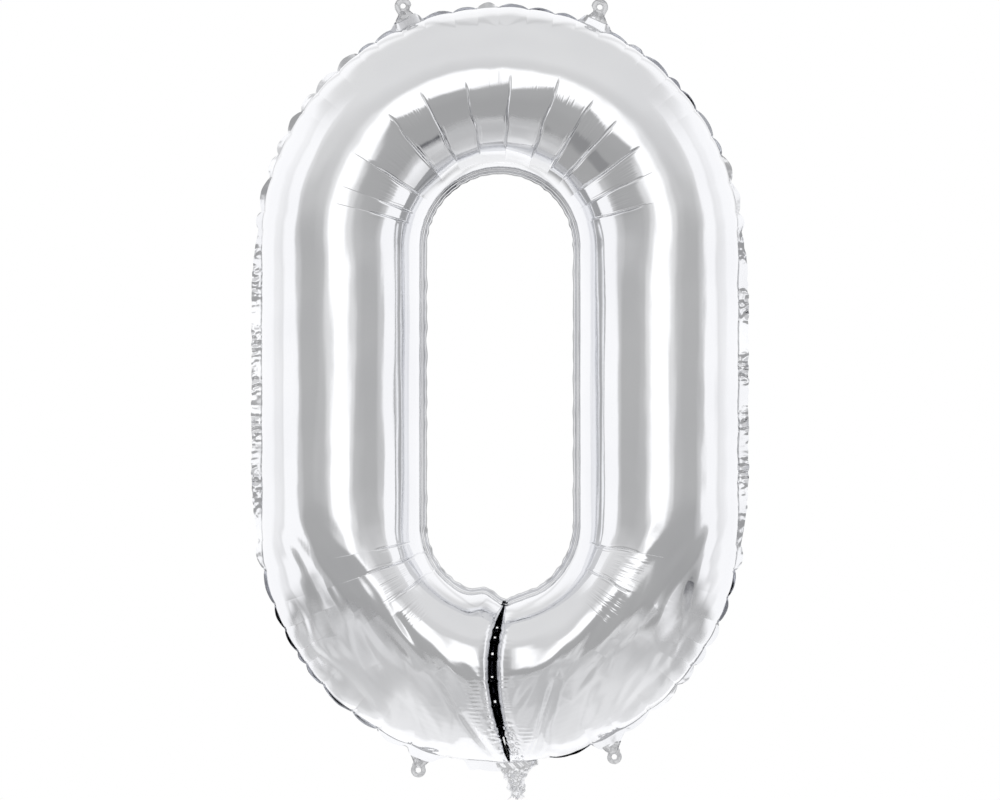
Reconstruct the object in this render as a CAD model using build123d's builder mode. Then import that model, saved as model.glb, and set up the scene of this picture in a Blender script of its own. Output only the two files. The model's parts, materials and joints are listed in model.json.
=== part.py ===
# Foil number balloon, the figure 0, inflated.
#
# Two die-cut sheets of metallised film are heat-sealed round their outer edge, round
# the hole and along a short divider below the hole, so that the gas fills one tube
# bent into an oval with its two ends side by side at the bottom.  Four ears for
# hanging and a filling neck are cut from the same sheets and fold where they leave
# the sealed margin.  A self-sealing valve of two thin films lies inside the neck.
#
# Frame: X to the right, Y to the back, Z up, in millimetres.  The origin is the
# centre of the whole balloon, ears and neck included.
from build123d import *
from math import asin, cos, sin, tan
import os

os.makedirs("parts", exist_ok=True)

# ---------------------------------------------------------------- driving sizes
TUBE_R = 90.0  # radius of the inflated tube
HOLE_R = 88.0  # radius of the inner seam line round the ends of the hole
TOP_Z = 171.0  # centre of the upper arch
BOTTOM_Z = -138.0  # centre of the lower arch
FILM = 0.8  # one sheet, thicker than the real 0.03 so that it stays a solid
SEAL = 0.4  # fused layer between the two sheets
OUTER_MARGIN = 10.0  # width of the sealed margin outside the tube
INNER_MARGIN = 6.5  # width of the sealed margin inside the hole

NOSE = 48.0  # length over which each tube end closes on the divider
DIVIDER_W = 6.0  # width of the divider seal
PASSAGE_HALF = 6.0  # half the depth of the gas passage below the divider
PASSAGE_H = 34.0  # height of that passage above the outer seam

NECK_X = 17.0  # the neck sits beside the divider
NECK_W = 34.0  # width of the neck at its fold
NECK_TIP_W = 24.0  # width of the neck at its mouth
NECK_SIDE_SEAL = 5.0  # width of the sealed strip along each side of the neck
THROAT_W = 24.0  # unsealed width of the outer seam under the neck

VALVE_FILM = 0.15  # one film of the valve
VALVE_GAP = 0.1  # gap between the two valve films
VALVE_W = 22.0  # width of the valve
VALVE_H = 112.0  # length of the valve from the outer seam into the tube
INK_H = 46.0  # length of the release coating that keeps the valve unsealed
INK_T = 0.06  # thickness of that coating

EAR_HOLE_R = 3.0  # radius of the hanging hole
EAR_HEAD_R = 10.0  # radius of the ear's round head
EAR_REACH = 11.5  # from the fold line to the hanging hole
EAR_BASE_W = 26.0  # width of the ear at its fold
EAR_WAIST_W = 14.0  # width of the ear below its head
FOLD_GAP = 0.3  # clearance between a folding piece and the margin

# distance of each ear from the vertical centre line, and which arch it is on
EARS = {
    "ear_top_left": (-107.0, True),
    "ear_top_right": (110.0, True),
    "ear_bottom_left": (-90.0, False),
    "ear_bottom_right": (126.0, False),
}

# ---------------------------------------------------------------- derived sizes
STRAIGHT = TOP_Z - BOTTOM_Z
MIDDLE_Z = (TOP_Z + BOTTOM_Z) / 2
CROWN_R = HOLE_R + TUBE_R  # radius of the tube's centre line round an arch
OUTER_R = HOLE_R + 2 * TUBE_R  # radius of the outer seam line
EDGE_R = OUTER_R + OUTER_MARGIN  # radius of the cut edge of the sheets
LAYER = FILM + SEAL / 2  # half the thickness of the sealed margin
FOLD_R = EDGE_R + FOLD_GAP + LAYER  # radius at which the ears and the neck fold
SEAM_BOTTOM_Z = BOTTOM_Z - OUTER_R
DIVIDER_END_Z = SEAM_BOTTOM_Z + PASSAGE_H
BITE = FILM / 2  # how far a margin reaches into the wall that it is fused to


def fold_plane(x, upper):
    """Plane of a flap: origin on the fold line, local y outwards, normal to the front."""
    side = 1 if upper else -1
    lean = asin(x / FOLD_R)
    centre_z = TOP_Z if upper else BOTTOM_Z
    origin = (FOLD_R * sin(lean), 0, centre_z + side * FOLD_R * cos(lean))
    along = (side * cos(lean), 0, -sin(lean))
    return Plane(origin=origin, x_dir=along, z_dir=(0, -1, 0))


def ear_shift(x, upper):
    """Sideways step of an ear's head, which turns it two thirds of the way to the vertical."""
    side = 1 if upper else -1
    return -side * EAR_REACH * tan(asin(x / FOLD_R) * 2 / 3)


def ear_top():
    """Height of the highest ear."""
    x, upper = EARS["ear_top_left"]
    plane = fold_plane(x, upper)
    return plane.from_local_coords(Vector(ear_shift(x, upper), EAR_REACH, 0)).Z + EAR_HEAD_R


# the neck's lowest corner is as far below the origin as the highest ear is above it
NECK_PLANE = fold_plane(NECK_X, False)
NECK_LEAN = asin(NECK_X / FOLD_R)
NECK_DROP = ear_top() + NECK_PLANE.origin.Z
NECK_L = (NECK_DROP - NECK_TIP_W / 2 * sin(NECK_LEAN)) / cos(NECK_LEAN)


def export(piece, name):
    """Labels a finished piece and writes it."""
    piece.part.label = name
    export_step(piece.part, f"parts/{name}.step")
    size = piece.part.bounding_box().size
    print(f"{name}: {size.X:.1f} x {size.Y:.2f} x {size.Z:.1f} mm")


# ---------------------------------------------------------------- shared shapes
def oval_tube(radius):
    """A full round tube bent into the oval."""
    with BuildPart() as tube:
        with BuildSketch(Plane.XY.offset(BOTTOM_Z)):
            with Locations((-CROWN_R, 0), (CROWN_R, 0)):
                Circle(radius)
        extrude(amount=STRAIGHT)
        for centre_z, turn in ((TOP_Z, -180), (BOTTOM_Z, 180)):
            with BuildSketch(Plane.XY.offset(centre_z)):
                with Locations((CROWN_R, 0)):
                    Circle(radius)
            axis = Axis((0, 0, centre_z), (0, 1, 0))
            revolve(axis=axis if turn > 0 else axis.reverse(), revolution_arc=180)
    return tube.part


def lobe(wall):
    """The tube with its two ends closed on the divider, smaller by wall all round."""
    reach = TUBE_R  # past the tube's front and back
    with BuildPart() as body:
        add(oval_tube(TUBE_R - wall))
        # in plan each end is a quarter of an ellipse, at the front and at the back
        with BuildSketch(Plane.XY.offset(SEAM_BOTTOM_Z - 1)):
            for side, near in ((1, Align.MIN), (-1, Align.MAX)):
                with Locations((0, side * (PASSAGE_HALF - wall))):
                    Rectangle(2 * NOSE, reach, align=(Align.CENTER, near))
                with Locations((-NOSE, side * PASSAGE_HALF), (NOSE, side * PASSAGE_HALF)):
                    Ellipse(NOSE - wall, TUBE_R - PASSAGE_HALF - wall, mode=Mode.SUBTRACT)
        extrude(amount=OUTER_R, mode=Mode.SUBTRACT)
        # the divider parts the two ends down to the gas passage
        with BuildSketch(Plane.XZ.offset(-TUBE_R)):
            with Locations((0, DIVIDER_END_Z - wall)):
                Rectangle(DIVIDER_W + 2 * wall, OUTER_R, align=(Align.CENTER, Align.MIN))
        extrude(amount=2 * TUBE_R, mode=Mode.SUBTRACT)
    return body.part


def oval(radius, mode=Mode.ADD):
    """Oval outline at a given radius from the arch centres, in a sketch on the middle plane."""
    with Locations((0, MIDDLE_Z)):
        SlotCenterToCenter(STRAIGHT, 2 * radius, rotation=90, mode=mode)


def throat():
    """Opening of the outer seam under the neck, cut from a sketch on the middle plane."""
    with Locations((NECK_X, SEAM_BOTTOM_Z)):
        Rectangle(THROAT_W, 3 * OUTER_MARGIN, mode=Mode.SUBTRACT)


def divider_strip(width, top_z):
    """Strip of the divider from its lower end up to top_z, in a sketch on the middle plane."""
    with Locations((0, DIVIDER_END_Z)):
        Rectangle(width, top_z - DIVIDER_END_Z, align=(Align.CENTER, Align.MIN))


# ---------------------------------------------------------------- the two sheets
def foil_panel():
    """The front sheet: half of the tube's skin with its sealed margins and divider strip."""
    hole_seam_z = BOTTOM_Z - HOLE_R
    with BuildPart() as panel:
        add(lobe(0))
        add(lobe(FILM), mode=Mode.SUBTRACT)
        split(bisect_by=Plane.XZ.offset(SEAL / 2), keep=Keep.TOP)
        with BuildSketch(Plane.XZ.offset(SEAL / 2)):
            oval(EDGE_R)
            oval(OUTER_R - BITE, mode=Mode.SUBTRACT)
        extrude(amount=FILM)
        with BuildSketch(Plane.XZ.offset(SEAL / 2)):
            oval(HOLE_R + BITE)
            oval(HOLE_R - INNER_MARGIN, mode=Mode.SUBTRACT)
        extrude(amount=FILM)
        with BuildSketch(Plane.XZ.offset(SEAL / 2)):
            divider_strip(DIVIDER_W + 2 * BITE, hole_seam_z)
        extrude(amount=FILM)
    return panel


front_panel = foil_panel()
export(front_panel, "front_foil_panel")

with BuildPart() as back_panel:
    mirror(front_panel.part, about=Plane.XZ)
export(back_panel, "back_foil_panel")


# ---------------------------------------------------------------- heat seals
middle = Plane.XZ.offset(-SEAL / 2)

with BuildPart() as outer_seal:
    with BuildSketch(middle):
        oval(EDGE_R)
        oval(OUTER_R - FILM, mode=Mode.SUBTRACT)
        throat()
    extrude(amount=SEAL)
export(outer_seal, "outer_heat_seal")

with BuildPart() as hole_seal:
    with BuildSketch(middle):
        oval(HOLE_R + FILM)
        oval(HOLE_R - INNER_MARGIN, mode=Mode.SUBTRACT)
    extrude(amount=SEAL)
export(hole_seal, "hole_heat_seal")

with BuildPart() as divider_seal:
    with BuildSketch(middle):
        divider_strip(DIVIDER_W + 2 * FILM, BOTTOM_Z)
        oval(HOLE_R + FILM, mode=Mode.SUBTRACT)
    extrude(amount=SEAL)
export(divider_seal, "divider_heat_seal")


# ---------------------------------------------------------------- hanging ears
def fold_bead(width):
    """Rounded root of a two-ply piece, lying along its fold line."""
    Cylinder(LAYER, width, rotation=(0, 90, 0))


def ear_ply(shift):
    """Front ply of an ear in its own plane, with the fold along X and the ear along Y."""
    with BuildPart() as ply:
        with BuildSketch():
            Polygon(
                (-EAR_BASE_W / 2, 0),
                (EAR_BASE_W / 2, 0),
                (shift + EAR_WAIST_W / 2, EAR_REACH / 2),
                (shift + EAR_WAIST_W / 2, EAR_REACH),
                (shift - EAR_WAIST_W / 2, EAR_REACH),
                (shift - EAR_WAIST_W / 2, EAR_REACH / 2),
                align=None,
            )
            with Locations((shift, EAR_REACH)):
                Circle(EAR_HEAD_R)
                Circle(EAR_HOLE_R, mode=Mode.SUBTRACT)
        extrude(amount=LAYER)
        fold_bead(EAR_BASE_W)
        split(bisect_by=Plane.XY, keep=Keep.TOP)
    return ply.part


for name, (x, upper) in EARS.items():
    ply = ear_ply(ear_shift(x, upper))
    plane = fold_plane(x, upper)
    with BuildPart() as front_ply:
        add(plane.location * ply)
    export(front_ply, f"{name}_front_ply")
    with BuildPart() as back_ply:
        mirror(front_ply.part, about=Plane.XZ)
    export(back_ply, f"{name}_back_ply")


# ---------------------------------------------------------------- filling neck
def neck_outline():
    """Outline of the neck with the fold along X and the neck along Y."""
    Polygon(
        (-NECK_W / 2, 0),
        (NECK_W / 2, 0),
        (NECK_TIP_W / 2, NECK_L),
        (-NECK_TIP_W / 2, NECK_L),
        align=None,
    )


with BuildPart() as neck_front:
    with BuildSketch(Plane.XY.offset(SEAL / 2)):
        neck_outline()
    extrude(amount=FILM)
    fold_bead(NECK_W)
    split(bisect_by=Plane.XY.offset(SEAL / 2), keep=Keep.TOP)
neck_front.part.locate(NECK_PLANE.location)
export(neck_front, "neck_front_ply")

with BuildPart() as neck_back:
    mirror(neck_front.part, about=Plane.XZ)
export(neck_back, "neck_back_ply")

with BuildPart() as neck_seal:
    with BuildSketch(Plane.XY.offset(-SEAL / 2)):
        neck_outline()
        with Locations((0, NECK_L / 2)):
            Rectangle(NECK_W - 2 * NECK_SIDE_SEAL, 2 * NECK_L, mode=Mode.SUBTRACT)
    extrude(amount=SEAL)
neck_seal.part.locate(NECK_PLANE.location)
export(neck_seal, "neck_side_seals")


# ---------------------------------------------------------------- filling valve
def valve_layer(near_y, thickness, height):
    """A flat layer of the valve between the sheets, from the cut edge up into the tube."""
    with BuildPart() as layer:
        with BuildSketch(Plane.XZ.offset(near_y)):
            with Locations((NECK_X, SEAM_BOTTOM_Z - OUTER_MARGIN / 2)):
                Rectangle(VALVE_W, height, align=(Align.CENTER, Align.MIN))
        extrude(amount=thickness)
    return layer


valve_front = valve_layer(VALVE_GAP / 2, VALVE_FILM, VALVE_H)
export(valve_front, "valve_front_film")

with BuildPart() as valve_back:
    mirror(valve_front.part, about=Plane.XZ)
export(valve_back, "valve_back_film")

valve_ink = valve_layer(-VALVE_GAP / 2, INK_T, INK_H)
export(valve_ink, "valve_release_coating")
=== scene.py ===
# %% [markdown]
# # A silver foil balloon, the figure 0
# The real balloon is two sheets of metallised film, welded together round the outside,
# round the hole and along a short divider below the hole, and then filled with gas.
# Film bends freely but hardly stretches.  So the legs come out as smooth tubes, while the
# arches, where there is more film than room, gather into creases.  This lesson wraps flat
# grids into that shape.  Every crease is moved into the mesh, and only the finest crinkle
# is left to the material.

# %% Load the frame
import json
import math
import bmesh
import bpy
import numpy as np
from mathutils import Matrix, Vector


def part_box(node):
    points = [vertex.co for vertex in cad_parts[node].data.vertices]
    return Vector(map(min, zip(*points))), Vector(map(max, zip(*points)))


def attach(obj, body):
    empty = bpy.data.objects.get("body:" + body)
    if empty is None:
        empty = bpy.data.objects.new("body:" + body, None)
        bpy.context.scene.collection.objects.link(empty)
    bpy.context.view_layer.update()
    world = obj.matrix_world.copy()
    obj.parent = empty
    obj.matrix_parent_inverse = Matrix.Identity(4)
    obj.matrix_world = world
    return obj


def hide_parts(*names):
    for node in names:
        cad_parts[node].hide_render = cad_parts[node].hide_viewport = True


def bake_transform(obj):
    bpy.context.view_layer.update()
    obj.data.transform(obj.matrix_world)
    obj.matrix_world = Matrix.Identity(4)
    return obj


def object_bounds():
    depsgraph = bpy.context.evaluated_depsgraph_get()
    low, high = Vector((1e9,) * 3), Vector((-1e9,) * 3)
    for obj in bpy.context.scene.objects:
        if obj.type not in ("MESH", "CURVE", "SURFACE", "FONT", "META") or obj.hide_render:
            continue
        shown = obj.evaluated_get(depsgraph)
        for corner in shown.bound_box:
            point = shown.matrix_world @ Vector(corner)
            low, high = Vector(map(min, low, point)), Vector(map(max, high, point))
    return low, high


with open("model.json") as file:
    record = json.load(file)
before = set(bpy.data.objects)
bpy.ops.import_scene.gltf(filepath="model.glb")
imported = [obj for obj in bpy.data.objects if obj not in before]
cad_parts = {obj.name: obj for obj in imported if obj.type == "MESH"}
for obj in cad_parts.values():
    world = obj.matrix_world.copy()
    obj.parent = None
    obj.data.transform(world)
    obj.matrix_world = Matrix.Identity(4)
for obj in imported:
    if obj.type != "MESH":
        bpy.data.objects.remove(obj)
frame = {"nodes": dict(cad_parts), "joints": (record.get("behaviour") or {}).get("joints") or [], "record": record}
cad_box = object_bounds()

# %% [markdown]
# ## The camera
# The balloon is seen straight on from far away through a long lens, so that the tube
# hardly narrows with distance.  The lens follows from the width of the view.

# %% Camera
VIEW_WIDTH = 1.119
CAMERA_BACK = 4.6
SENSOR = 36.0

lens = bpy.data.cameras.new("long_lens")
lens.sensor_width = SENSOR
lens.lens = SENSOR * CAMERA_BACK / VIEW_WIDTH
camera = bpy.data.objects.new("camera", lens)
camera.location = (0.0, -CAMERA_BACK, 0.0)
camera.rotation_euler = (math.radians(90), 0, 0)
bpy.context.scene.collection.objects.link(camera)
bpy.context.scene.camera = camera
print("lens in mm:", round(lens.lens, 1))

# %% [markdown]
# ## The balloon's own sizes
# The main sizes come from the boxes of the frame's nodes, so nothing is measured twice.
# Only the weld's lap over the film and the width of the hole's margin are given here.

# %% Sizes from the frame
MM = 0.001
panel_low, panel_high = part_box("front_foil_panel")
seal_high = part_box("hole_heat_seal")[1]
WELD_LAP = 0.8 * MM
EDGE_R = panel_high[0]
TUBE_R = -panel_low[1]
TOP_Z = panel_high[2] - EDGE_R
BOTTOM_Z = panel_low[2] + EDGE_R
HOLE_R = seal_high[0] - WELD_LAP
CROWN_R = HOLE_R + TUBE_R
SEAM_R = CROWN_R + TUBE_R
MARGIN = EDGE_R - SEAM_R
HOLE_MARGIN = 6.5 * MM
LEG = TOP_Z - BOTTOM_Z
QUARTER = CROWN_R * math.pi / 2
ROUND = 2 * LEG + 4 * QUARTER
STRIP = math.pi * TUBE_R
print("tube radius", TUBE_R, "strip", round(STRIP, 4), "once round", round(ROUND, 3))

# %% [markdown]
# ## Walking round the tube
# Every sheet here is a grid with two directions.  `q` runs once round the figure along the
# tube's middle, from the right side of the divider to its left side, anticlockwise.  `s`
# runs across the film from the inner seam, over the crown, to the outer seam.

# %% Where a station lies
LEG_STARTS = (0, QUARTER, QUARTER + LEG, 3 * QUARTER + LEG, 3 * QUARTER + 2 * LEG, ROUND)


def heading(q):
    """The outward angle at station q, and the height of the point that it turns about."""
    turns = np.array([-90, 0, 0, 180, 180, 270])
    heights = (BOTTOM_Z, BOTTOM_Z, TOP_Z, TOP_Z, BOTTOM_Z, BOTTOM_Z)
    return np.interp(q, LEG_STARTS, np.radians(turns)), np.interp(q, LEG_STARTS, heights)


def station(degrees):
    """The station at an angle round the figure: -90 to 0 and 180 to 270 are the lower arch."""
    top = QUARTER + LEG + np.radians(degrees) * CROWN_R
    right = np.radians(degrees + 90) * CROWN_R
    left = 3 * QUARTER + 2 * LEG + np.radians(degrees - 180) * CROWN_R
    return np.where(degrees < 0, right, np.where(degrees > 180, left, top))


def step(x, low, high):
    """Smooth step from 0 at low to 1 at high."""
    t = np.clip((x - low) / (high - low), 0, 1)
    return t * t * (3 - 2 * t)


def on_arch(q):
    """1 on the arches, fading to 0 a little way down the legs."""
    fade = 50 * MM
    legs = 0
    for start in (QUARTER, 3 * QUARTER + LEG):
        end = start + LEG
        legs = legs + step(q, start - fade, start + fade) * (1 - step(q, end - fade, end + fade))
    return 1 - legs


print("stations at 0, 90 and 180 degrees:", np.round(station(np.array([0, 90, 180])), 3))

# %% [markdown]
# ## Smooth unevenness
# Film is never perfectly even.  A handful of sine waves with seeded random directions and
# phases gives a soft wobble, the same on every run.

# %% A seeded wobble
def wobble(points, size, seed, waves=14):
    """Soft noise of about unit height at the points, whose bumps are about this size."""
    dice = np.random.default_rng(seed)
    total = np.zeros(points[0].shape)
    for _ in range(waves):
        way = dice.normal(size=len(points))
        way *= 2 * math.pi / size / np.linalg.norm(way) * dice.uniform(0.6, 1.4)
        phase = dice.uniform(0, 2 * math.pi)
        total += np.sin(sum(w * p for w, p in zip(way, points)) + phase)
    return total / math.sqrt(waves)


# %% [markdown]
# ## Where the film creases
# On the inside of an arch the film is too long for its place, so it gathers at long
# radial creases.  Between two of them it is a short straight piece of tube, like one piece
# of a stovepipe elbow.  Along the outer seam the creases are short and close together.

# %% Crease stations
TOP_CREASES = np.array([15.2, 25.3, 34.8, 46.5, 57, 70.2, 86.6, 102, 117.4, 131, 148, 159.8, 166])
LOWER_CREASES = np.array([-27, -11, 191, 200, 214])
long_creases = np.sort(np.concatenate([station(TOP_CREASES), station(LOWER_CREASES)]))

dice = np.random.default_rng(5)
seam_angles = [-6.0 * k + dice.uniform(-1.2, 1.2) for k in range(1, 8)]
seam_angles += [-50 - 9.5 * k + dice.uniform(-1.5, 1.5) for k in range(4)]
seam_angles += [180 - a + dice.uniform(-2, 2) for a in seam_angles]
seam_angles += [6.2 * k + 3 + dice.uniform(-1.2, 1.2) for k in range(29)]
seam_creases = np.sort(station(np.array(seam_angles)))
print(len(long_creases), "long creases,", len(seam_creases), "short ones at the outer seam")


def between(q, marks):
    """For each station: the crease before it, the one after it, and which gap that is."""
    gap = np.clip(np.searchsorted(marks, q) - 1, 0, len(marks) - 2)
    return marks[gap], marks[gap + 1], gap


# %% [markdown]
# ## Grid lines
# A crease only looks sharp if the grid is fine there.  So the lines across the tube crowd
# together at each crease, and stay far apart on the smooth legs.  Each sheet of film is one
# piece, but its grid comes in two pieces that meet in a crease on each side: the lobes by
# the divider need finer lines than the rest.

# %% Laying out the grid lines
def crowd(start, end, count, spacing, marks=(), gain=0.0, reach=1.0):
    """Count values from start to end, closer where spacing is small and near the marks."""
    fine = np.linspace(start, end, 40001)
    density = 1 / spacing(fine)
    for mark in marks:
        density += gain * np.exp(-np.abs(fine - mark) / reach)
    total = np.concatenate([[0], np.cumsum((density[1:] + density[:-1]) / 2)])
    return np.interp(np.linspace(0, total[-1], count), total, fine)


# Each comb of fine ripples: from one angle to another, then its inner radius, outer radius
# and pitch in millimetres.
COMBS = (
    (-25.5, -12.5, 133, 163, 3.8), (-43, -31, 126, 158, 3.5),
    (203, 216, 116, 146, 3.8), (219, 231, 122, 141, 3.3),
    (62, 69, 170, 186, 3.2), (72, 83, 172, 184, 2.6), (88, 95, 166, 190, 4.4),
    (27, 33, 150, 166, 3.0), (120, 129, 152, 172, 3.0), (133, 146, 138, 158, 2.8),
    (17, 24, 128, 150, 3.2), (149, 158, 128, 146, 3.0), (48, 56, 150, 170, 3.0),
)


def comb_spacing(q):
    """Grid spacing along the tube: wide on the legs, narrow in the combs."""
    wide = 3.0 * MM + 5.0 * MM * (1 - on_arch(q))
    for first, last, *_ in COMBS:
        inside = (q > station(first)) & (q < station(last))
        wide = np.where(inside, np.minimum(wide, 1.25 * MM), wide)
    return wide


# %% The lines of the arch and the legs
CUT_ANGLES = (-27.0, 200.0)
CUT_RIGHT, CUT_LEFT = station(np.array(CUT_ANGLES))
fine_marks = long_creases[(long_creases > CUT_RIGHT - MM) & (long_creases < CUT_LEFT + MM)]
seam_marks = seam_creases[(seam_creases > CUT_RIGHT) & (seam_creases < CUT_LEFT)]
columns_main = crowd(
    CUT_RIGHT, CUT_LEFT, 900, comb_spacing,
    np.concatenate([fine_marks, fine_marks, fine_marks, seam_marks]),
    gain=1 / (1.1 * MM), reach=1.3 * MM,
)
rows_main = crowd(0, STRIP, 108, lambda s: 1.6 * MM + 1.8 * MM * np.sin(s / TUBE_R) ** 0.7)

# %% The lines of the lobes
NOSE_GRID = 60 * MM
NOSE_LINES = 44
LOBE_CROWDING = {"gain": 1 / (0.8 * MM), "reach": 1.6 * MM}
nose = NOSE_GRID * (np.arange(NOSE_LINES) / NOSE_LINES) ** 2.2
lobe_marks = np.concatenate([long_creases, seam_creases])
right_marks = lobe_marks[(lobe_marks > NOSE_GRID) & (lobe_marks <= CUT_RIGHT + MM)]
left_marks = lobe_marks[(lobe_marks >= CUT_LEFT - MM) & (lobe_marks < ROUND - NOSE_GRID)]
right_lobe = crowd(NOSE_GRID, CUT_RIGHT, 150, comb_spacing, right_marks, **LOBE_CROWDING)
left_lobe = crowd(CUT_LEFT, ROUND - NOSE_GRID, 165, comb_spacing, left_marks, **LOBE_CROWDING)
columns_right = np.concatenate([nose, right_lobe])
columns_left = np.concatenate([left_lobe, ROUND - nose[::-1]])
rows_lobe = crowd(
    0, STRIP, 210,
    lambda s: 1.9 * MM - 0.95 * MM * step(s, 120 * MM, 135 * MM) * (1 - step(s, 205 * MM, 220 * MM)),
)
print("arch and legs:", len(columns_main), "x", len(rows_main), "lines")
print("lobes:", len(columns_right), "+", len(columns_left), "x", len(rows_lobe), "lines")

# %% [markdown]
# ## A grid that is wrapped into a sheet
# `create_grid` makes the flat sheet.  Its points are then moved by a formula from their
# place on the flat sheet to their place on the balloon, and the flat place is kept as UV.
# A second number is kept for every point: the shade painted on it where it lies deep between the two lobes.


# %% Wrapping a grid
def wrap(name, columns, rows, place, outward):
    """A sheet from a flat grid: place(column, row) gives x, y, z and how much shade is painted on it."""
    bm = bmesh.new()
    bmesh.ops.create_grid(bm, x_segments=len(columns) - 1, y_segments=len(rows) - 1, size=0.5)
    mesh = bpy.data.meshes.new(name)
    bm.to_mesh(mesh)
    bm.free()
    flat = np.empty(len(mesh.vertices) * 3)
    mesh.vertices.foreach_get("co", flat)
    flat = flat.reshape(-1, 3)
    u = columns[np.rint((flat[:, 0] + 0.5) * (len(columns) - 1)).astype(int)]
    v = rows[np.rint((flat[:, 1] + 0.5) * (len(rows) - 1)).astype(int)]
    corner = np.empty(len(mesh.loops), dtype=int)
    mesh.loops.foreach_get("vertex_index", corner)
    uv = mesh.uv_layers.new(name="film")
    uv.data.foreach_set("uv", np.stack([u[corner], v[corner]], axis=1).ravel())
    x, y, z, slit_shade = place(u, v)
    mesh.vertices.foreach_set("co", np.stack([x, y, z], axis=1).ravel())
    # Painted shade: each point's number darkens the film's colour where shade falls deep between the lobes.
    painted_shade_layer = mesh.attributes.new("painted_shade_layer", "FLOAT", "POINT")
    painted_shade_layer.data.foreach_set("value", slit_shade)
    mesh.update()
    return finish_sheet(name, mesh, outward)


# %% Finishing and joining sheets
def finish_sheet(name, mesh, outward):
    """Merges doubled points, turns the faces outwards, and makes the object."""
    bm = bmesh.new()
    bm.from_mesh(mesh)
    bmesh.ops.remove_doubles(bm, verts=bm.verts, dist=0.01 * MM)
    bmesh.ops.dissolve_degenerate(bm, edges=bm.edges, dist=0.001 * MM)
    bm.normal_update()
    facing = sum(f.normal.dot(outward(f.calc_center_median())) * f.calc_area() for f in bm.faces)
    if facing < 0:
        bmesh.ops.reverse_faces(bm, faces=bm.faces)
    for face in bm.faces:
        face.smooth = True
    bm.to_mesh(mesh)
    bm.free()
    piece = bpy.data.objects.new(name, mesh)
    bpy.context.scene.collection.objects.link(piece)
    print(name, len(mesh.polygons), "faces")
    return piece


def join_sheets(name, first, second):
    """Two sheets become one object."""
    bm = bmesh.new()
    bm.from_mesh(first.data)
    bm.from_mesh(second.data)
    bm.to_mesh(first.data)
    bm.free()
    first.name = name
    first.data.name = name
    bpy.data.objects.remove(second)
    return first


# %% [markdown]
# ## The two foil panels
# Each panel is half of the tube.  The formula starts from a round tube and adds the long
# creases, the fine combs, the short creases of the outer seam, the soft streaks of the legs
# and the lobes, and the pulled folds of the lobes.  Then come the straight walls of the
# elbow pieces and the waves of the two seams, and last the rounded noses where the two ends
# of the tube close on the divider.

# %% The divider and the seams
# How far from the divider the noses begin to round off, and how blunt they are.
NOSE_LENGTH = 50 * MM
NOSE_POWER = 6.5
DIVIDER_HALF = 0.8 * MM
DIVIDER_TOP = BOTTOM_Z - HOLE_R
DIVIDER_END = BOTTOM_Z - SEAM_R + 34 * MM
PINHOLES = np.array([-254.5, -266, -284, -310, -337.6]) * MM
# The divider wanders: its sideways place at eight heights, in millimetres, as one curve.
BEND_MIDDLE = -320
BEND_SPAN = 90
BEND_Z = np.array([-231, -254, -275, -299, -316, -342, -372, -410])
BEND_X = np.array([3.9, -3.8, -7.3, -9.0, -8.2, -3.8, 3.0, 11.6])
divider_bend = np.polyfit((BEND_Z - BEND_MIDDLE) / BEND_SPAN, BEND_X, 4)
print("divider from z =", round(DIVIDER_TOP, 3), "down to", round(DIVIDER_END, 3))


def slit_shift(z):
    """How far the divider wanders sideways on its way down."""
    place = np.clip((z / MM - BEND_MIDDLE) / BEND_SPAN, -1.05, 1.05)
    return MM * np.polyval(divider_bend, place)


def near_divider(x, z):
    """1 at the divider, fading to 0 on both sides of it and above it."""
    below = 1 - step(z, DIVIDER_TOP + 15 * MM, DIVIDER_TOP + 45 * MM)
    return np.exp(-np.abs(x) / (32 * MM)) * below


def beside_divider(x, z, hand, passage):
    """x moved sideways so that the film lies beside the wandering divider."""
    hole = np.exp(-((z[:, None] - PINHOLES[None, :]) / (1.3 * MM)) ** 2).sum(axis=1)
    half = DIVIDER_HALF * (1 + 0.9 * hole)
    return x + near_divider(x, z) * (hand * half * (1 - passage) + slit_shift(z))


# %% The waves of the two seams
def along_scallop(q):
    """How far a station lies between two short creases, from 0 to 1, and their distance."""
    before, after, _ = between(q, seam_creases)
    return np.clip((q - before) / (after - before), 0, 1), after - before


def seam_radius(q):
    """Radius of the outer seam: scallops on the arches, a slight wave on the legs."""
    part, distance = along_scallop(q)
    wide = np.minimum(distance / (28 * MM), 1.6)
    scallop = (np.sin(math.pi * part) ** 0.8 - 0.55) * 1.4 * MM * wide
    wave = 0.4 * MM * wobble([q], 45 * MM, 21)
    return SEAM_R + scallop * on_arch(q) + wave * (1 - on_arch(q))


def seam_sway(q):
    """How far the outer seam leaves the middle plane."""
    ends = np.clip(np.minimum(q, ROUND - q) / (30 * MM), 0, 1)
    return (1.6 * on_arch(q) + 0.5) * MM * wobble([q], 70 * MM, 22) * ends


def hole_wave(x, z):
    """How far the hole's seam is drawn outwards by the divider, and bulges beside it."""
    wave = 3 * np.exp(-((x / MM - 1) / 7) ** 2)
    wave -= 8 * np.exp(-((x / MM + 22) / 12) ** 2)
    wave -= 1.5 * np.exp(-((x / MM - 28) / 13) ** 2)
    return wave * MM * (1 - step(z, BOTTOM_Z - 50 * MM, BOTTOM_Z))


# %% A fold in section, and the nearest one
def groove(x, width):
    """A sharp fold seen in section: a deep narrow valley between two low lips."""
    lips = 0.12 * np.exp(-((np.abs(x) - 3.0 * width) / (1.3 * width)) ** 2)
    return lips - np.exp(-np.abs(x) / width)


def nearest(q, marks):
    """Signed distance to the nearest mark, and which one it is."""
    which = np.abs(q[:, None] - marks[None, :]).argmin(axis=1)
    return q - marks[which], which


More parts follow.
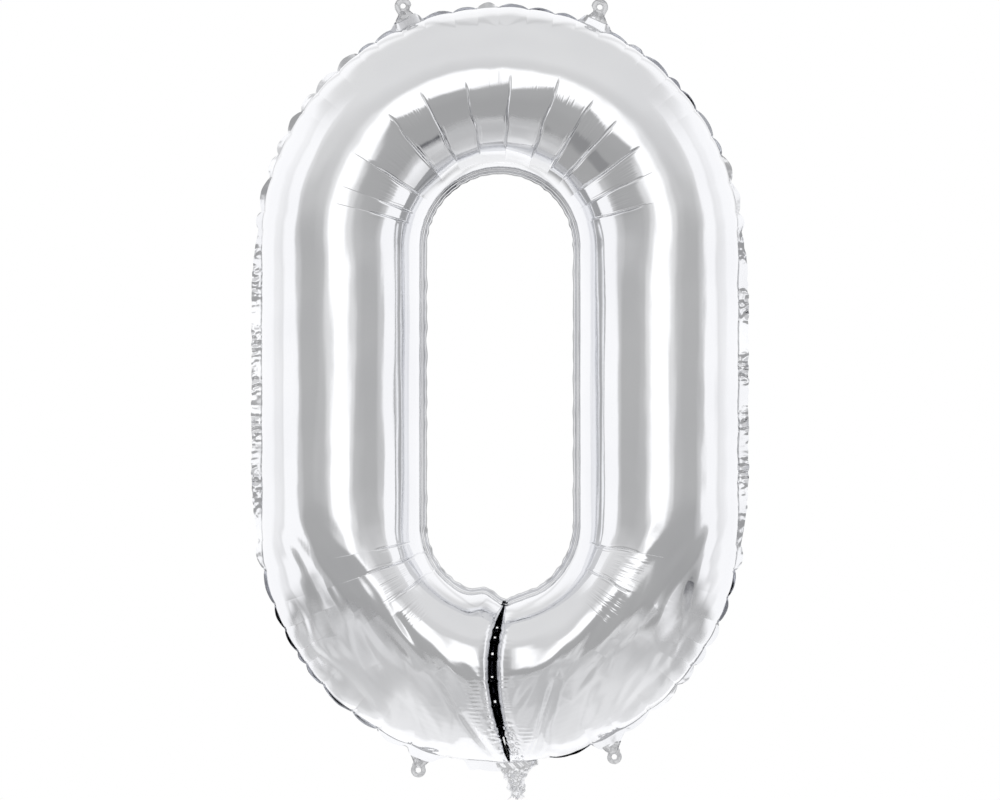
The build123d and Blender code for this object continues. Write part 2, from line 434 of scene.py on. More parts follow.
# %% The long creases and the elbow pieces between them
dice = np.random.default_rng(31)
CREASE_START = np.radians(dice.uniform(33, 40, len(long_creases)))
CREASE_END = np.radians(dice.uniform(90, 98, len(long_creases)))
# Some creases end sooner: the angle round the figure, and the angle across the tube.
SOONER_ENDS = (
    (15.2, 80), (25.3, 85), (148, 78), (159.8, 66), (166, 70),
    (-27, 76), (-11, 74), (191, 64), (200, 74), (214, 62),
)
# Two creases start almost at the hole's seam.
SOONER_STARTS = (200, 214)


def crease_at(degrees):
    """Which long crease lies at this angle round the figure."""
    return np.abs(long_creases - station(degrees)).argmin()


for angle, last in SOONER_ENDS:
    CREASE_END[crease_at(angle)] = math.radians(last)
for angle in SOONER_STARTS:
    CREASE_START[crease_at(angle)] = math.radians(8)
print("creases end", np.round(np.degrees(CREASE_END)).astype(int), "degrees across the tube")


# %% Their relief
def long_crease_relief(q, phi, r, seed):
    """Height of the film over the round tube round the inside of the arches."""
    dice = np.random.default_rng(seed)
    depth = dice.uniform(1.2, 2.0, len(long_creases)) * MM
    away, which = nearest(q, long_creases)
    stretch = r / CROWN_R
    first, last = CREASE_START[which], CREASE_END[which]
    run = np.clip((phi - first) / (last - first), 0, 1)
    bent = 0.8 * MM * wobble([phi * TUBE_R, which * 1.0], 40 * MM, seed + 2)
    height = depth[which] * groove(away * stretch + bent, 0.62 * MM) * np.sin(math.pi * run) ** 0.4
    second = np.where(dice.uniform(0, 1, len(long_creases)) < 0.5, 2.6, -2.6)[which] * MM
    height += 0.3 * depth[which] * groove(away * stretch + bent + second, 0.5 * MM) * np.sin(math.pi * run)
    before, after, gap = between(q, long_creases)
    tilt = dice.uniform(-0.10, 0.10, len(long_creases))
    middle = (before + after) / 2
    inner = step(phi, 0.35, 0.75) * (1 - step(phi, 1.3, 1.7)) * on_arch(q)
    height += tilt[gap] * np.clip(q - middle, -22 * MM, 22 * MM) * stretch * inner
    lean = dice.uniform(-2.4, 2.4, len(long_creases)) * MM
    height += lean[gap] * np.sin(math.pi * np.clip((phi - 0.5) / 1.1, 0, 1)) ** 2 * on_arch(q)
    return height


def comb_relief(q, r):
    """Height of the fine parallel ripples between some of the long creases."""
    height = np.zeros(q.shape)
    for first, last, low, high, pitch in COMBS:
        begin, end = station(first), station(last)
        part = (q - begin) / (end - begin)
        side = step(part, -0.02, 0.1) * (1 - step(part, 0.9, 1.02))
        edge = 3 * MM * wobble([q], 5 * MM, int(low))
        inner = step(r + edge, (low - 3) * MM, (low + 3) * MM)
        outer = step(r + edge, (high - 3) * MM, (high + 3) * MM)
        across = inner * (1 - outer)
        phase = (q - begin) * (low + high) / 2 * MM / CROWN_R / (pitch * MM)
        jitter = 0.5 * wobble([q], 14 * MM, int(high))
        height += 0.055 * pitch * MM * (np.abs(np.sin(math.pi * (phase + jitter))) - 0.6) * side * across
    return height


def elbow(q, r, phi):
    """How far an elbow piece's straight wall lies outside the round arch."""
    before, after, _ = between(q, long_creases)
    off = np.clip((q - (before + after) / 2) / CROWN_R, -0.16, 0.16)
    near = (after - before) < 60 * MM
    inside = step(phi, 0.2, 0.55) * (1 - step(phi, 1.3, 1.75))
    return r * (1 / np.cos(off) - 1) * inside * near * on_arch(q)


# %% The short creases of the outer seam
def seam_crease_relief(q, s, r, seed):
    """Height of the film near the outer seam: paired short creases and pillows between."""
    dice = np.random.default_rng(seed)
    count = len(seam_creases)
    low = np.minimum(seam_creases, ROUND - seam_creases) < station(-45.0)
    length = np.where(low, dice.uniform(34, 42, count), dice.uniform(13, 24, count)) * MM
    depth = dice.uniform(0.7, 1.3, count) * MM
    apart = dice.uniform(1.3, 2.6, count) * MM
    away, which = nearest(q, seam_creases)
    x = away * r / CROWN_R
    inward = STRIP - s
    fade = 1 - step(inward, 0.6 * length[which], length[which])
    pair = groove(x - apart[which], 0.7 * MM) + groove(x + apart[which], 0.7 * MM)
    height = depth[which] * pair * fade * step(inward, 0, 3 * MM)
    part, distance = along_scallop(q)
    pillow = (np.sin(math.pi * part) - 0.6) * 1.8 * MM * np.minimum(distance / (30 * MM), 1.4)
    height += pillow * np.exp(-inward / (20 * MM)) * step(inward, 0, 10 * MM)
    return height * on_arch(q)


# %% [markdown]
# ## The folds of the lobes
# The divider pulls on the film of the two lower lobes, so soft folds run from its foot up
# towards the outer seam.  A cloth solver would need a very fine mesh to find them in film
# that hardly stretches, so each fold is laid in one by one as a line with a depth and a width.

# %% The pulled folds of the lower lobes
# Each fold: where it starts, where it ends, how deep and how wide it is, in millimetres.
PULLED_FOLDS = (
    (-12, -398, -42, -345, 3.6, 2.6), (-42, -345, -66, -296, 2.2, 5.0),
    (-66, -296, -112, -232, 1.5, 6.0),
    (34, -395, 62, -305, 3.0, 3.2), (62, -305, 134, -212, 1.5, 6.0),
    (-160, -240, -136, -292, 1.1, 5.0), (-150, -225, -84, -296, 1.2, 6.5),
    (-190, -230, -150, -330, 1.2, 8.0), (-205, -190, -186, -262, 0.8, 6.0),
    (174, -232, 108, -284, 1.3, 6.0), (112, -280, 76, -330, 1.4, 5.0),
    (188, -284, 160, -330, 1.1, 6.0), (210, -200, 196, -270, 0.8, 6.0),
    (128, -262, 118, -306, 0.9, 4.5), (-100, -330, -66, -376, 0.8, 6.0),
    (96, -340, 74, -384, 0.8, 6.0), (-22, -394, -40, -409, 1.0, 2.4), (36, -392, 86, -406, 1.0, 2.6),
    (16, -412, 2, -352, 1.6, 1.8), (19, -412, 12, -356, 1.4, 1.8), (11, -410, -12, -372, 1.4, 2.2),
    (24, -411, 34, -380, 1.2, 2.2),
)
print(len(PULLED_FOLDS), "pulled folds")


def pulled_relief(x, z):
    """Height of the soft folds that run from the divider up the lower lobes."""
    height = np.zeros(x.shape)
    for x0, z0, x1, z1, depth, width in PULLED_FOLDS:
        ax, az = x - x0 * MM, z - z0 * MM
        bx, bz = (x1 - x0) * MM, (z1 - z0) * MM
        reach = math.hypot(bx, bz)
        along = np.clip((ax * bx + az * bz) / reach ** 2, 0, 1)
        off = (ax * bz - az * bx) / reach
        gone = np.hypot(ax - along * bx, az - along * bz)
        side = np.where(off < 0, width, 2.2 * width) * MM
        ends = 1 - 0.75 * np.abs(2 * along - 1) ** 3
        height -= depth * MM * np.exp(-(gone / side) ** 2) * ends
    return height


# %% The hollow inside the rim, and the streaks
def rim_relief(q, r):
    """Height of the soft hollow that runs along the inside of the lower rim."""
    left = step(q, station(196.0), station(206.0))
    left = left * (1 - step(q, station(228.0), station(240.0)))
    right = step(-q, -station(-22.0), -station(-30.0))
    right = right * (1 - step(-q, -station(-50.0), -station(-58.0)))
    wander = 2.5 * MM * wobble([q], 60 * MM, 45)
    hollow = np.exp(-((r - 246 * MM - wander) / (6.5 * MM)) ** 2)
    return -(2.2 * left + 1.1 * right) * MM * hollow


def streak_relief(x, z, seed):
    """Height of the long soft streaks in which the film of the lobes hangs."""
    hand = np.sign(x)
    along = -0.5 * hand * x - 0.87 * z
    off = -0.87 * hand * x + 0.5 * z
    wide = wobble([along / 3.2, off, 0.02 * hand], 38 * MM, seed)
    fine = wobble([along / 5, off, 0.02 * hand], 15 * MM, seed + 1)
    return (1.25 * wide + 0.28 * fine) * MM


# %% The film beside the slit
def slit_relief(x, z, seed):
    """Cross creases and fine combs beside the divider."""
    dice = np.random.default_rng(seed)
    gone = np.abs(x)
    height = np.zeros(x.shape)
    for k in range(9):
        at = DIVIDER_TOP - (14 + 15 * k + dice.uniform(-4, 4)) * MM
        side = np.where(x * dice.choice([-1, 1]) > 0, 1.0, 0.3)
        depth = dice.uniform(0.4, 0.8) * MM
        height += depth * groove(z - at, 0.8 * MM) * np.exp(-(gone / (11 * MM)) ** 2) * side
    comb = np.abs(np.sin(math.pi * z / (4.6 * MM))) - 0.6
    ticks = np.abs(np.sin(math.pi * z / (5.2 * MM) + 1.5 * wobble([z], 30 * MM, seed + 1))) - 0.6
    height += 0.55 * MM * ticks * np.exp(-((gone - 8 * MM) / (5 * MM)) ** 2)
    left = np.exp(-((x + 25 * MM) / (8 * MM)) ** 4 - ((z + 335 * MM) / (26 * MM)) ** 4)
    right = np.exp(-((x - 27 * MM) / (8 * MM)) ** 4 - ((z + 375 * MM) / (20 * MM)) ** 4)
    return height + 0.5 * MM * comb * (left + right)


# %% Putting the formula together
TOP_LEAN = -0.06
LOBE_LEAN = 0.45
NOSE_LEAN = 0.2


def section(q, x, phi):
    """Depth of the tube's section over its seams: leant outwards above, inwards below."""
    beyond = np.minimum(q, ROUND - q)
    low = 1 - step(beyond, 0.5 * QUARTER, QUARTER + 45 * MM)
    top = on_arch(q) * (beyond > QUARTER + LEG / 2)
    by_nose = (1 - step(np.abs(x), 45 * MM, 100 * MM)) * low
    lean = LOBE_LEAN * low * (1 - by_nose) + NOSE_LEAN * by_nose + TOP_LEAN * top
    power = 1 - 0.36 * by_nose
    height = np.maximum(np.sin(phi), 0) ** power * (1 + lean * np.cos(phi))
    return height / (1 + 0.42 * lean ** 2)


# %% Where each point of a panel goes
def panel_place(side, seed):
    """The place function of one panel: side is -1 for the front and 1 for the back."""

    def place(q, s):
        angle, centre_z = heading(q)
        phi = s / TUBE_R
        arch = on_arch(q)
        r = CROWN_R - TUBE_R * np.cos(phi)
        out_r, out_y = -np.cos(phi), np.sin(phi)
        x0, z0 = r * np.cos(angle), centre_z + r * np.sin(angle)
        y = TUBE_R * section(q, x0, phi)
        lower = 1 - step(z0, BOTTOM_Z - 40 * MM, BOTTOM_Z + 30 * MM)
        ends = np.sin(phi) ** 0.5

        relief = long_crease_relief(q, phi, r, seed)
        relief += comb_relief(q, r)
        relief += seam_crease_relief(q, s, r, seed + 10)
        streaks = wobble([q / 14, s], 20 * MM, seed + 20) + 0.6 * wobble([q / 20, s], 9 * MM, seed + 21)
        relief += 0.10 * MM * streaks * ends * (1 - 0.6 * arch)
        relief += 0.32 * MM * wobble([x0, z0], 130 * MM, seed + 22) * ends
        relief += 0.05 * MM * wobble([x0, z0], 34 * MM, seed + 23) * ends
        relief += streak_relief(x0, z0, seed + 24) * ends * lower * step(phi, 0.9, 1.5)
        relief += pulled_relief(-side * x0, z0) * step(phi, 0.35, 0.8) * (1 - step(phi, 2.5, 3.0))
        relief += rim_relief(q, r)
        relief += slit_relief(-side * x0, z0, seed + 30) * step(-z0, 0.2, 0.3) * (1 - step(phi, 2.5, 2.9))

        r = r + out_r * relief + elbow(q, r, phi)
        y = y + out_y * relief
        near_seam = step(phi, 2.1, math.pi)
        r = r + (seam_radius(q) - SEAM_R) * near_seam
        r = r + hole_wave(x0, z0) * (1 - step(phi, 0.0, 0.7))

        x, z = r * np.cos(angle), centre_z + r * np.sin(angle)
        close = np.clip(np.abs(x) / NOSE_LENGTH, 0, 1)
        blunt = (1 - (1 - close) ** NOSE_POWER) ** (1 / NOSE_POWER)
        blunt = np.where((z < 0) & (np.abs(x) < NOSE_LENGTH), blunt, 1)
        passage = step(s, STRIP - 42 * MM, STRIP - 22 * MM)
        gap = np.minimum(y, (5 + 2 * wobble([x, z], 12 * MM, seed + 40)) * MM)
        y = y * blunt + passage * (1 - blunt) * gap
        tail = step(-z, 0.345, 0.375) * np.exp(-((x - slit_shift(z)) / (12 * MM)) ** 2)
        crumple = np.abs(wobble([x, z], 10 * MM, seed + 41)) + 0.5 * np.abs(wobble([x, z], 5 * MM, seed + 42))
        y = y + tail * 4.5 * MM * crumple * np.sin(phi) ** 0.5
        by_neck = np.exp(-((x - 17 * MM) / (19 * MM)) ** 4) * (z < 0)
        y = y + 2.6 * MM * step(s, STRIP - 34 * MM, STRIP - 10 * MM) * by_neck
        # Painted shade: film deep between the two lobes, above the passage, is marked to be painted near-black.
        deep = (1 - step(blunt, 0.3, 0.46)) * (1 - passage)
        slit_shade = deep * (z < DIVIDER_TOP + 4 * MM) * step(phi, 0.03, 0.12)
        hand = np.where(q < ROUND / 2, 1, -1)
        x = beside_divider(x, z, hand, passage)
        y = side * y + seam_sway(q) * near_seam * blunt
        return x, y, z, slit_shade

    return place


# %% Making the panels
def facing(side):
    """For a sheet that faces the front (-1) or the back (1): its outward direction."""
    return lambda centre: (0.0, float(side), 0.0)


panels = []
for name, side, seed in (("front_foil", -1, 100), ("back_foil", 1, 200)):
    place = panel_place(side, seed)
    arch = wrap(name + "_arch_and_legs", columns_main, rows_main, place, facing(side))
    right = wrap(name + "_right_lobe", columns_right, rows_lobe, place, facing(side))
    left = wrap(name + "_left_lobe", columns_left, rows_lobe, place, facing(side))
    lobes = join_sheets(name + "_lobes", right, left)
    panels.append((arch, lobes, name + "_panel"))

# %% Each panel is attached to the balloon, and its frame part hidden
for arch, lobes, node in panels:
    for piece in (arch, lobes):
        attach(piece, "balloon")
        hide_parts(node)

# %% [markdown]
# ## The outer margin
# Outside the weld a strip of film 10 mm wide is left over.  Along the legs it is longer than
# it has to be, because the tube has drawn in, so it crinkles finely.  On the arches each
# short crease of the seam pinches it, so it shows as a row of small leaves, and in some
# stretches they curl towards the front.  At the ears and the neck it keeps its full width.

# %% Outer margin
# Angles round the figure: the middles of the four ears, and where the leaves curl.
ROOT_ANGLES = (112.5, 66.8, 251.2, -63.2)
CURLED_LEAVES = ((20, 88), (96, 107), (114, 128), (192, 243), (-22, -13), (-56, -48), (-74, -66))


def leaf_curl(q):
    """How far each leaf curls up from the plane towards the front, in radians."""
    dice = np.random.default_rng(77)
    gap = between(q, seam_creases)[2]
    curl = dice.uniform(-0.05, 0.03, len(seam_creases))
    middle = (seam_creases[:-1] + seam_creases[1:]) / 2
    for first, last in CURLED_LEAVES:
        curled = (middle > station(first)) & (middle < station(last))
        curl[:-1][curled] = dice.uniform(0.85, 1.1, curled.sum())
    return curl[gap]


def margin_place(q, t):
    """The outer margin: t runs from 0 at the seam to 1 at the cut edge."""
    angle, centre_z = heading(q)
    arch = on_arch(q)
    part = along_scallop(q)[0]
    leaf = 0.08 + 0.5 * np.sin(math.pi * part) ** 0.7
    roots = station(np.array(ROOT_ANGLES))
    from_ears = np.abs(q[:, None] - roots[None, :]).min(axis=1)
    away = np.minimum(from_ears, np.minimum(q, ROUND - q) - 14 * MM)
    rooted = 1 - step(away, 7 * MM, 14 * MM)
    leaf = leaf + (1 - leaf) * rooted
    width = MARGIN * (arch * leaf + (1 - arch)) * (1 + 0.05 * wobble([q], 14 * MM, 51))
    curl = leaf_curl(q) * arch * (1 - rooted) + 0.09 * np.clip(-np.sin(angle), 0, 1) * arch
    crinkle = wobble([q, t * 6 * MM], 8 * MM, 52) + 0.35 * wobble([q, t * 9 * MM], 4 * MM, 53)
    crinkle *= np.clip(0.6 + 0.8 * wobble([q], 60 * MM, 54), 0.12, 1.3)
    crinkle *= (0.95 - 0.85 * arch) * MM * t ** 0.7
    r = seam_radius(q) + width * t * np.cos(curl)
    y = seam_sway(q) - width * t * np.sin(curl) + crinkle
    x, z = r * np.cos(angle), centre_z + r * np.sin(angle)
    return x, y, z, 0 * x


columns_margin = np.linspace(0, ROUND, 1500)
outer_margin = wrap("outer_margin", columns_margin, np.linspace(0, 1, 9), margin_place, facing(-1))
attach(outer_margin, "balloon")
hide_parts("outer_heat_seal")

# %% [markdown]
# ## The hole's margin
# Round the hole the left-over strip is only 6.5 mm wide.  It stands almost flat, with a soft
# roll across it, and the divider draws it down into a small notch.


# %% Hole margin
def hole_margin_place(q, t):
    """The hole's margin: t runs from 0 at the seam to 1 at the cut edge."""
    angle, centre_z = heading(q)
    seam_x, seam_z = HOLE_R * np.cos(angle), centre_z + HOLE_R * np.sin(angle)
    wave = hole_wave(seam_x, seam_z)
    width = HOLE_MARGIN * (1 + 0.06 * wobble([q], 30 * MM, 61))
    r = HOLE_R + wave - width * t
    lower = 1 - step(seam_z, BOTTOM_Z - 50 * MM, BOTTOM_Z + 10 * MM)
    roll = 0.8 * MM * np.sin(2 * math.pi * t)
    ripple = wobble([q, t * 4 * MM], 40 * MM, 62)
    y = roll + (0.15 + 0.6 * lower) * MM * ripple * t
    x, z = r * np.cos(angle), centre_z + r * np.sin(angle)
    x = x + near_divider(x, z) * slit_shift(np.full(z.shape, DIVIDER_TOP))
    return x, y, z, 0 * x


columns_hole = np.linspace(0, ROUND, 900)
hole_margin = wrap("hole_margin", columns_hole, np.linspace(0, 1, 9), hole_margin_place, facing(-1))
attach(hole_margin, "balloon")
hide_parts("hole_heat_seal")

# %% [markdown]
# ## The divider
# Below the hole a narrow weld keeps the two ends of the tube apart.  It lies deep between
# the lobes, so its colour is painted near-black as shade, and it is left open at a few
# pinholes where light comes through.


# %% Divider strip
def divider_place(u, v):
    """The divider: v runs from the hole down to the passage, u across it."""
    z = DIVIDER_TOP + 1 * MM + v * (DIVIDER_END - DIVIDER_TOP - 6 * MM)
    x = slit_shift(z) + u * 3.2 * MM
    y = 0.3 * MM * wobble([x, z], 9 * MM, 71)
    # Painted shade: the whole strip is marked to be painted near-black.
    return x, y, z, 1 + 0 * x


divider = wrap("divider_strip", np.linspace(-1, 1, 9), np.linspace(0, 1, 180), divider_place, facing(-1))
bm = bmesh.new()
bm.from_mesh(divider.data)
open_faces = [f for f in bm.faces if np.abs(PINHOLES - f.calc_center_median().z).min() < 1.0 * MM]
bmesh.ops.delete(bm, geom=open_faces, context="FACES")
bm.to_mesh(divider.data)
bm.free()
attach(divider, "balloon")
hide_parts("divider_heat_seal")
print("pinholes:", len(PINHOLES))

# %% [markdown]
# ## The hanging ears
# Four flat ears are cut with the sheets and fold at their roots.  Each is a ring of points
# round its hole, stretched out to its outline: a round head, a waist and a flared base.

# %% The ears' own directions
joints = {joint["name"]: joint for joint in frame["joints"]}
mounts = {mount["name"]: mount for mount in frame["record"]["mounts"]}
# One side of an ear from its base to its head: half width and height, in millimetres.
EAR_HALF = (
    (11.6, -3.6), (10.9, -1.2), (9.0, 0.6), (7.6, 2.2), (6.9, 4.0), (7.0, 5.6), (7.8, 7.2),
)
EAR_HOLE_R = 3.0


def ear_outline(shift, reach, head_radius):
    """Outline of an ear as points (along the fold, away from it), in millimetres."""
    base_half, base_height = EAR_HALF[0]
    head = []
    for turn in np.radians(np.linspace(-14, 194, 36)):
        head.append((shift + head_radius * math.cos(turn), reach + head_radius * math.sin(turn)))
    right = [(a + shift * min(max(b, 0) / reach, 1), b) for a, b in EAR_HALF]
    left = [(-a + shift * min(max(b, 0) / reach, 1), b) for a, b in reversed(EAR_HALF)]
    base = [(a, base_height) for a in np.linspace(-base_half, base_half, 14)[1:-1]]
    return np.array(right + head + left + base + right[:1])


def make_ear(name, seed, head_radius):
    """One ear: a polar grid between its hole and its outline."""
    fold = joints[name + "_fold"]
    pivot = np.array(fold["pos_m"])
    across = np.array(fold["axis"])
    up = np.array([-across[2], 0, across[0]])
    hole = np.array(mounts[name + "_hole"]["pos_m"])
    shift = float((hole - pivot) @ across) / MM
    reach = float((hole - pivot) @ up) / MM
    outline = ear_outline(shift, reach, head_radius)
    ring = outline - (shift, reach)
    ring = ring / np.linalg.norm(ring, axis=1)[:, None] * EAR_HOLE_R + (shift, reach)

    def place(u, v):
        i = np.rint(u).astype(int)
        flat = ring[i] + (outline[i] - ring[i]) * v[:, None]
        a, b = flat[:, 0] * MM, flat[:, 1] * MM
        base = 1 - step(b, 0, 9 * MM)
        lift = (0.25 + 0.9 * base) * MM * wobble([a, b], 11 * MM, seed)
        lift += 0.7 * MM * np.sin(a / (2.6 * MM) + seed) * base * step(b, -2 * MM, 2 * MM)
        lift += 0.35 * MM * np.exp(-((v - 0.16) / 0.1) ** 2) + 0.4 * MM * step(v, 0.8, 1.0) * (1 - base)
        lift *= step(b, -4 * MM, 1 * MM)
        point = pivot[None, :] + a[:, None] * across[None, :] + b[:, None] * up[None, :]
        return point[:, 0], -lift - 0.4 * MM, point[:, 2], 0 * a

    ear = wrap(name, np.arange(len(outline)) * 1.0, np.linspace(0, 1, 15), place, facing(-1))
    body = ear.modifiers.new("two_plies", "SOLIDIFY")
    body.thickness = 0.5 * MM
    body.offset = -1
    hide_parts(name + "_front_ply", name + "_back_ply")
    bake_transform(ear)
    return ear


ears = [
    make_ear("ear_top_left", 81, 9.3),
    make_ear("ear_top_right", 82, 9.3),
    make_ear("ear_bottom_left", 83, 8.2),
    make_ear("ear_bottom_right", 84, 8.2),
]
print(len(ears), "ears")

# %% [markdown]
# ## The filling neck
# The neck is a flat tube of film below the divider.  After filling it is only a crumpled
# tail, so it narrows, pleats and ends ragged, with its mouth a little open.

# %% Neck
neck_fold = joints["neck_fold"]
neck_pivot = np.array(neck_fold["pos_m"])
neck_across = np.array(neck_fold["axis"])
neck_down = np.array([-neck_across[2], 0, neck_across[0]])
NECK_TUCKED = 12 * MM
NECK_LONG = float((np.array(mounts["neck_mouth"]["pos_m"]) - neck_pivot) @ neck_down)


def neck_place(u, v):
    """The neck: u runs once round the flat tube, v from its root to its mouth."""
    # a: across the neck, from -1 to 1.  b: how far below the fold, in metres.
    front = u < 0.5
    a = np.where(front, 1 - 4 * u, 4 * u - 3)
    edge = wobble([a * 15 * MM, 0 * u], 9 * MM, 91)
    ragged = 1 - (0.05 + 0.07 * np.abs(edge)) * v
    b = -NECK_TUCKED + v * (NECK_LONG + NECK_TUCKED) * ragged
    part = np.clip(b / NECK_LONG, 0, 1)
    flare = 11 * MM * np.exp(-np.clip(b + 7 * MM, 0, 1) / (4.5 * MM))
    half = 7.5 * MM + 5 * MM * (1 - part) + flare
    half = half + 1.6 * MM * wobble([b, 30 * MM * np.sign(a)], 8 * MM, 92) * step(part, 0, 0.2)
    thick = (2.9 - 0.4 * part) * MM * np.sqrt(np.clip(1 - a ** 2, 0, 1))
    pleat = 1.3 * MM * np.sin(a * half / (1.6 * MM) + 2.0 * wobble([b], 16 * MM, 93)) * step(part, -0.1, 0.25)
    rough = wobble([a * half, b], 9 * MM, 94) + 0.3 * wobble([a * half, b, 0.004 * front], 5 * MM, 95)
    y = np.where(front, -thick, thick) + pleat + 1.3 * MM * rough * step(b, -5 * MM, 2 * MM)
    along = a * half - 0.25 * flare + 1.5 * MM * part * wobble([b], 20 * MM, 96)
    point = neck_pivot[None, :] + along[:, None] * neck_across[None, :] + b[:, None] * neck_down[None, :]
    return point[:, 0], y, point[:, 2], 0 * y


neck = wrap("neck", np.linspace(0, 1, 121), np.linspace(0, 1, 46), neck_place,
            lambda centre: (0.0, float(np.sign(centre.y)), 0.0))
wall = neck.modifiers.new("film", "SOLIDIFY")
wall.thickness = 0.15 * MM
wall.offset = -1
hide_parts("neck_front_ply", "neck_back_ply", "neck_side_seals")
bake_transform(neck)
print("neck", round(NECK_LONG / MM, 1), "mm long")

# %% [markdown]
# ## The studio
# Polished film shows the room more than it shows itself.  So the room is built with care:
# white paper behind, two tall soft lights far out at the sides, one in front, and plain
# grey between them.  The world is a soft pattern over directions: azimuth round the
# balloon and elevation over the horizon.  The camera itself sees only a white backdrop.


# %% Helpers for node trees
def math_node(tree, operation, first, second=None):
    """A Math node: each input is a number or another node's output."""
    node = tree.nodes.new("ShaderNodeMath")
    node.operation = operation
    for socket, value in zip(node.inputs, (first, second)):
        if isinstance(value, (int, float)):
            socket.default_value = value
        elif value is not None:
            tree.links.new(value, socket)
    return node.outputs[0]


def ramp(tree, value, stops, mode="EASE"):
    """A colour ramp of greys, or of colours."""
    node = tree.nodes.new("ShaderNodeValToRGB")
    node.color_ramp.interpolation = mode
    elements = node.color_ramp.elements
    while len(elements) < len(stops):
        elements.new(0.5)
    for element, (place, tone) in zip(elements, stops):
        element.position = place
        element.color = (*tone, 1) if isinstance(tone, tuple) else (tone, tone, tone, 1)
    tree.links.new(value, node.inputs[0])
    return node.outputs[0]


def mix_colours(tree, factor, first, second):
    """A Mix node for colours: each colour is a grey, a colour or a node's output."""
    node = tree.nodes.new("ShaderNodeMix")
    node.data_type = "RGBA"
    tree.links.new(factor, node.inputs["Factor"])
    for socket, value in zip((node.inputs[6], node.inputs[7]), (first, second)):
        if isinstance(value, float):
            socket.default_value = (value, value, value, 1)
        elif isinstance(value, tuple):
            socket.default_value = (*value, 1)
        else:
            tree.links.new(value, socket)
    return node.outputs[2]


# %% Helpers for patterns and materials
def stretch(tree, vector, scale):
    """A vector whose three parts are multiplied by the scale."""
    node = tree.nodes.new("ShaderNodeMapping")
    node.inputs["Scale"].default_value = scale
    tree.links.new(vector, node.inputs["Vector"])
    return node.outputs[0]


def noise(tree, vector, scale, detail=2):
    """Soft noise over a vector."""
    node = tree.nodes.new("ShaderNodeTexNoise")
    node.inputs["Scale"].default_value = scale
    node.inputs["Detail"].default_value = detail
    tree.links.new(vector, node.inputs["Vector"])
    return node.outputs[0]


def new_material(name):
    """A material with nodes, its node tree and its shader."""
    material = bpy.data.materials.new(name)
    material.use_nodes = True
    return material, material.node_tree, material.node_tree.nodes["Principled BSDF"]


# %% The room as a world
# Azimuth 0 is straight in front and 1 straight behind.  Height 0 is down, 0.5 level, 1 up.
ROOM_BY_HEIGHT = (
    (0.0, 0.42), (0.17, 0.40), (0.33, 0.39), (0.44, 0.42), (0.5, 0.47),
    (0.57, 0.57), (0.63, 0.68), (0.72, 0.76), (0.85, 0.75), (1.0, 0.77),
)
FRONT_LIGHT_ACROSS = ((0.0, 1.0), (0.05, 1.0), (0.085, 0.45), (0.14, 0.08), (0.2, 0.0))
FRONT_LIGHT_UP = ((0.0, 0.0), (0.455, 0.0), (0.485, 1.0), (0.585, 1.0), (0.625, 0.0))
SIDES_ACROSS = (
    (0.0, 0.0), (0.3, 0.0), (0.345, 0.25), (0.37, 1.0), (0.47, 1.0),
    (0.51, 0.68), (0.56, 0.78), (0.64, 1.0), (1.0, 1.0),
)
SIDES_UP = ((0.0, 0.0), (0.28, 0.0), (0.36, 1.0), (0.66, 1.0), (0.77, 0.0))
BEHIND = ((0.0, 0.0), (0.7, 0.0), (0.84, 1.0))
EDGE_SHADE = ((0.0, 0.0), (0.84, 0.0), (0.885, 0.3), (0.93, 0.0))

# %% Directions, and the light from each
world = bpy.data.worlds.new("studio")
world.use_nodes = True
sky = world.node_tree
sky.nodes.clear()
coords = sky.nodes.new("ShaderNodeTexCoord")
split = sky.nodes.new("ShaderNodeSeparateXYZ")
sky.links.new(coords.outputs["Generated"], split.inputs[0])
way_x, way_y, way_z = split.outputs
forward = math_node(sky, "MULTIPLY", way_y, -1.0)
turn = math_node(sky, "ABSOLUTE", math_node(sky, "ARCTAN2", way_x, forward))
azimuth = math_node(sky, "DIVIDE", turn, math.pi)
rise = math_node(sky, "DIVIDE", math_node(sky, "ARCSINE", way_z), math.pi)
height = math_node(sky, "ADD", rise, 0.5)
front_up = ramp(sky, height, FRONT_LIGHT_UP)
front = math_node(sky, "MULTIPLY", ramp(sky, azimuth, FRONT_LIGHT_ACROSS), front_up)
sides = math_node(sky, "MULTIPLY", ramp(sky, azimuth, SIDES_ACROSS), ramp(sky, height, SIDES_UP))
behind = ramp(sky, math_node(sky, "ADD", math_node(sky, "MULTIPLY", way_y, 0.5), 0.5), BEHIND)
room = ramp(sky, height, ROOM_BY_HEIGHT)
room = mix_colours(sky, behind, room, 1.0)
room = mix_colours(sky, sides, room, (1.02, 1.02, 1.03))
room = mix_colours(sky, front, room, (1.15, 1.15, 1.15))
room = mix_colours(sky, ramp(sky, azimuth, EDGE_SHADE), room, 0.4)

# %% Two dark stands low in front
# Two dark patches below the camera show in a few of the film's facets.
# Each has a direction, the cosine at its edge, and how dark it is.
STANDS = (((0.50, -0.49, -0.71), 0.979, 0.9), ((-0.49, -0.62, -0.62), 0.99, 0.3))
for direction, edge, darkness in STANDS:
    dot = sky.nodes.new("ShaderNodeVectorMath")
    dot.operation = "DOT_PRODUCT"
    sky.links.new(coords.outputs["Generated"], dot.inputs[0])
    dot.inputs[1].default_value = np.array(direction) / np.linalg.norm(direction)
    stops = ((0.0, 0.0), (edge - 0.006, 0.0), (edge + 0.004, darkness), (1.0, darkness))
    patch = ramp(sky, dot.outputs["Value"], stops)
    room = mix_colours(sky, patch, room, (0.02, 0.022, 0.035))

